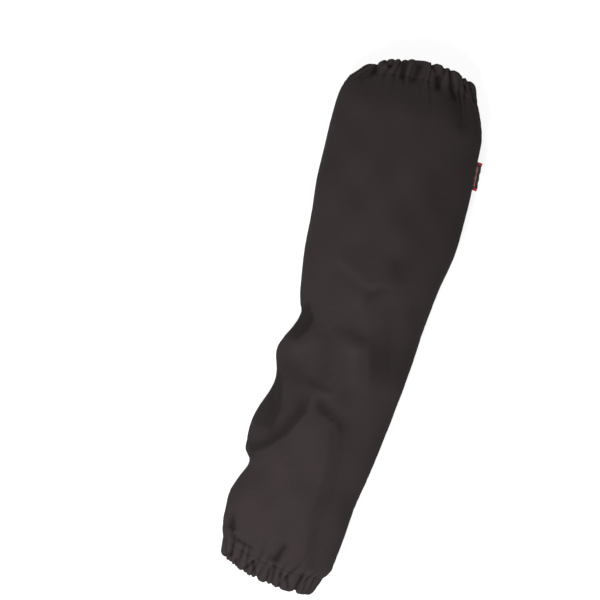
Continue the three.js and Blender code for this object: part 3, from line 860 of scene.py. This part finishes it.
def makeElastic(end, name, node):
    stitch, way = stitchAt[end], outwards[end]
    rows, flatPlaces = [], []
    outs = np.linspace(elastic["from"], elastic["from"] + elastic["width"], 9)
    for out, sink in [(out, 0.0) for out in outs] + [(out, 1.0) for out in outs[::-1]]:
        face = clothFace(np.array([stitch + way * out]), shares)
        back = sink * elastic["wall"]
        depth = np.maximum(face["depth"] + cuff["wall"] + elastic["gap"], elastic["shallowest"]) + back
        x, z = sunkBy(depth, face["base"])
        pleat = np.clip(face["depth"] / cuff["deepPleat"], 0, 1)
        y = face["base"]["y"] - way * drawnBack(pleat, out)
        rows.append(toModel(x, y, np.maximum(z, cuff["wall"] + elastic["floorGap"] + back))[0])
        flatPlaces.append((out + sink * elastic["backFrom"]) * mm)
    points = np.array(rows)
    if end == "wrist":
        points = points[::-1]
    piece = gridMesh(name, points, (shares * cuff["girth"], flatPlaces), tape, closed=True,
                     cuts=(len(outs) - 1, -1))
    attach(piece, "root")
    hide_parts(node)


makeElastic("wrist", "wristElastic", "wrist_elastic")
makeElastic("biceps", "bicepsElastic", "biceps_elastic")
print("elastics made")


# A closed bar: rows of points that close round the columns, with flat ends
def barMesh(name, points, uv, material):
    bar = gridMesh(name, points, uv, material)
    shape = bmesh.new()
    shape.from_mesh(bar.data)
    columns = points.shape[1]
    corners = list(shape.verts)
    shape.faces.new(corners[:columns])
    shape.faces.new(corners[-columns:][::-1])
    shape.to_mesh(bar.data)
    shape.free()
    return bar


# Sewing thread, spun from polyester and cotton: as dark and matt as the cloth that it sinks into
threadLook = {"colour": "#262120", "light": "#2D2726", "roughness": 0.9, "fibre": 0.4}  # mm across a fibre


def makeThread(name, look):
    material, tree, shader = newMaterial(name, {"Roughness": look["roughness"]})
    place = addNode(tree, "ShaderNodeTexCoord").outputs["Object"]
    twist = addNode(tree, "ShaderNodeTexNoise",
                    {"Vector": place, "Scale": 1 / (look["fibre"] * mm), "Detail": 2.0})
    shade = addNode(tree, "ShaderNodeMix",
                    {0: twist, mixA: linearColour(look["colour"]), mixB: linearColour(look["light"])},
                    data_type="RGBA")
    tree.links.new(shade.outputs[mixOut], shader.inputs["Base Color"])
    return material


thread = makeThread("spun sewing thread", threadLook)


# Geometry Nodes: one short loop of thread at every step along a curve
def makeStitchTree():
    tree = bpy.data.node_groups.new("stitches", "GeometryNodeTree")
    for title, kind in (("Path", "Geometry"), ("Step", "Float"), ("Length", "Float"), ("Thickness", "Float"),
                        ("Turn", "Float"), ("Material", "Material")):
        tree.interface.new_socket(title, in_out="INPUT", socket_type="NodeSocket" + kind)
    tree.interface.new_socket("Stitches", in_out="OUTPUT", socket_type="NodeSocketGeometry")
    given = addNode(tree, "NodeGroupInput").outputs
    spots = addNode(tree, "GeometryNodeResampleCurve", {"Curve": given["Path"], "Length": given["Step"]},
                    mode="LENGTH")
    along = addNode(tree, "GeometryNodeInputTangent")
    facing = addNode(tree, "FunctionNodeAlignRotationToVector", {"Vector": along}, axis="X")
    turn = addNode(tree, "ShaderNodeCombineXYZ", {"Z": given["Turn"]})
    turned = addNode(tree, "FunctionNodeRotateRotation", {"Rotation": facing, "Rotate By": turn},
                     rotation_space="LOCAL")
    loop = addNode(tree, "GeometryNodeMeshUVSphere", {"Segments": 6, "Rings": 5, "Radius": 0.5})
    size = addNode(tree, "ShaderNodeCombineXYZ",
                   {"X": given["Length"], "Y": given["Thickness"], "Z": given["Thickness"]})
    stitch = addNode(tree, "GeometryNodeTransform", {"Geometry": loop, "Scale": size})
    placed = addNode(tree, "GeometryNodeInstanceOnPoints",
                     {"Points": spots, "Instance": stitch, "Rotation": turned})
    real = addNode(tree, "GeometryNodeRealizeInstances", {"Geometry": placed})
    rounded = addNode(tree, "GeometryNodeSetShadeSmooth", {"Geometry": real})
    dressed = addNode(tree, "GeometryNodeSetMaterial", {"Geometry": rounded, "Material": given["Material"]})
    addNode(tree, "NodeGroupOutput", {"Stitches": dressed})
    return tree


stitchTree = makeStitchTree()


# Stitches in rows, as one piece. paths is a list of (points in metres, closed).
def stitchRows(name, paths, stitch, turn=0.0):
    curve = bpy.data.curves.new(name + "Path", "CURVE")
    curve.dimensions = "3D"
    for points, closed in paths:
        spline = curve.splines.new("POLY")
        spline.points.add(len(points) - 1)
        weighted = np.concatenate([points, np.ones((len(points), 1))], axis=1)
        spline.points.foreach_set("co", weighted.reshape(-1))
        spline.use_cyclic_u = closed
    path = addObject(name + "Path", curve)
    sewn = path.modifiers.new("stitches", "NODES")
    sewn.node_group = stitchTree
    given = {"Step": stitch["step"] * mm, "Length": stitch["length"] * mm,
             "Thickness": stitch["thickness"] * mm, "Turn": turn, "Material": thread}
    for item in stitchTree.interface.items_tree:
        if item.name in given:
            sewn[item.identifier] = given[item.name]
    piece = plainMesh(path, name)
    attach(piece, "root")
    return piece


# The lockstitch that holds each hem down, sunk into its groove. Lengths in mm.
hemStitch = {"step": 3.0, "length": 2.2, "thickness": 0.4, "lift": -0.06}


def hemPath(end):
    face = clothFace(np.array([stitchAt[end]]), shares, -hemStitch["lift"])
    return toModel(face["x"], face["y"], np.maximum(face["z"], hemStitch["thickness"] / 2))[0]


for end in ("wrist", "biceps"):
    piece = stitchRows(end + "HemStitches", [(hemPath(end), True)], hemStitch)
print("hem stitches made")

# The seam allowance inside the tube: both raw edges folded to one side and overlocked
seam = {
    "width": 10,
    "thick": 1.3,
    "gap": 0.25,
    "endGap": 6,
    "girth": 340,  # of the tube, to turn a width into a share
    "rows": 150,
    "strip": 2.4,  # mm of flat cloth between two columns
}
overlockStitch = {"step": 2.2, "length": 3.2, "thickness": 0.7, "in": 0.4}  # in from the strip's edges
seamRows = np.linspace(stitchAt["wrist"] + seam["endGap"], stitchAt["biceps"] - seam["endGap"], seam["rows"])


# A grid along the seam's rows, at distances to its sides and depths under the cloth's outer face
def seamPoints(sideways, extra):
    face = clothFace(seamRows, np.array(sideways) / seam["girth"])
    x, z = sunkBy(face["depth"] + np.array(extra)[None, :], face["base"])
    return toModel(x, face["y"], np.maximum(z, 0.0))


seamHalf = seam["width"] / 2
near = body["wall"] + seam["gap"]
far = near + seam["thick"]
across = [seamHalf * share for share in (-1, -0.5, 0, 0.5, 1)]
seamGrid = seamPoints(across + across[::-1], [near] * len(across) + [far] * len(across))
seamPlaces = (np.arange(seamGrid.shape[1]) * seam["strip"] * mm, seamRows * mm)
sideSeam = barMesh("sideSeam", seamGrid, seamPlaces, cotton)
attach(sideSeam, "root")
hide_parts("side_seam")
inset = seamHalf - overlockStitch["in"]
overlockPaths = [(seamPoints([edge], [(near + far) / 2])[:, 0], False) for edge in (-inset, inset)]
overlock = stitchRows("seamOverlock", overlockPaths, overlockStitch, math.pi / 2)
print("side seam made")

# The folded label in the side seam: black tape with a red stripe and red ends
label = {
    "at": 440,
    "length": 28,
    "reach": 7.4,
    "root": 2,  # how far it goes into the seam
    "tape": 0.4,
    "half": 0.62,  # half of its thickness over both layers
    "droop": 30,  # degrees
    "curl": 0.5,  # how far its corners lift
    "endBar": 2.4,
    "stripe": (2.4, 0.75),  # the red stripe's place from the seam, and half its width
    "stripeEdge": 0.3,
    "blackBar": 1.6,  # between the stripe's ends and the red end bars
}
# Satin-woven polyester tape: smooth and a little glossy, with colours as clear as its yarns
labelLook = {"ground": "#171514", "red": "#A6202A", "pale": "#B9B2AC", "roughness": 0.5,
             "weave": 0.5, "weaveHeight": 0.1, "relief": 0.6}


def makeWovenLabel(name, look):
    material, tree, shader = newMaterial(name, {"Roughness": look["roughness"]})
    uv = addNode(tree, "ShaderNodeUVMap", uv_map="cloth")
    part = addNode(tree, "ShaderNodeSeparateXYZ", {"Vector": uv})

    # bands over the black ground, each over the ones before it: colour, place, half width, axis
    stripe, stripeHalf = label["stripe"]
    barHalf, blackHalf = label["endBar"] / 2, label["blackBar"] / 2
    bands = [("pale", stripe, stripeHalf + label["stripeEdge"], "X"), ("red", stripe, stripeHalf, "X")]
    for place in (label["endBar"] + blackHalf, label["length"] - label["endBar"] - blackHalf):
        bands.append(("ground", place, blackHalf, "Y"))
    for place in (barHalf, label["length"] - barHalf):
        bands.append(("red", place, barHalf, "Y"))
    below = linearColour(look["ground"])
    for colour, place, wide, axis in bands:
        mask = addNode(tree, "ShaderNodeMath", {0: part.outputs[axis], 1: place * mm, 2: wide * mm},
                       operation="COMPARE")
        layer = addNode(tree, "ShaderNodeMix", {0: mask, mixA: below, mixB: linearColour(look[colour])},
                        data_type="RGBA")
        below = layer.outputs[mixOut]
    tree.links.new(below, shader.inputs["Base Color"])
    addWeave(tree, shader, look)
    return material


# The tape's section: out from the seam along the top, round the fold and back, then along inside
def labelSection():
    foldAt = label["reach"] - label["half"]

    def layer(half):
        turns = np.linspace(0, math.pi, 7)[1:-1]
        return ([(out, half) for out in np.linspace(-label["root"], foldAt, 9)]
                + [(foldAt + half * math.sin(turn), half * math.cos(turn)) for turn in turns]
                + [(out, -half) for out in np.linspace(foldAt, -label["root"], 9)])

    return layer(label["half"]) + layer(label["half"] - label["tape"])[::-1]


def makeLabel():
    droop = math.radians(label["droop"])
    section = labelSection()
    places = label["at"] + np.linspace(-0.5, 0.5, 15) * label["length"]
    face = clothFace(places, np.array([0.0]))
    rows = []
    for i, place in enumerate(places):
        near = abs(place - label["at"]) / (label["length"] / 2)
        row = []
        for out, up in section:
            lift = label["curl"] * near**4 * max(out, 0) / label["reach"]
            x = face["x"][i, 0] + out * math.cos(droop) + (up + lift) * math.sin(droop)
            z = face["z"][i, 0] - out * math.sin(droop) + (up + lift) * math.cos(droop)
            row.append(toModel(x, face["y"][i, 0], z))
        rows.append(row)
    points = np.array(rows)[:, ::-1]
    across = np.array([max(out, 0.0) for out, up in section][::-1]) * mm
    piece = barMesh("sideLabel", points, (across, (places - places[0]) * mm),
                    makeWovenLabel("satin-woven label tape", labelLook))
    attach(piece, "root")
    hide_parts("side_label")


makeLabel()
print("label made")
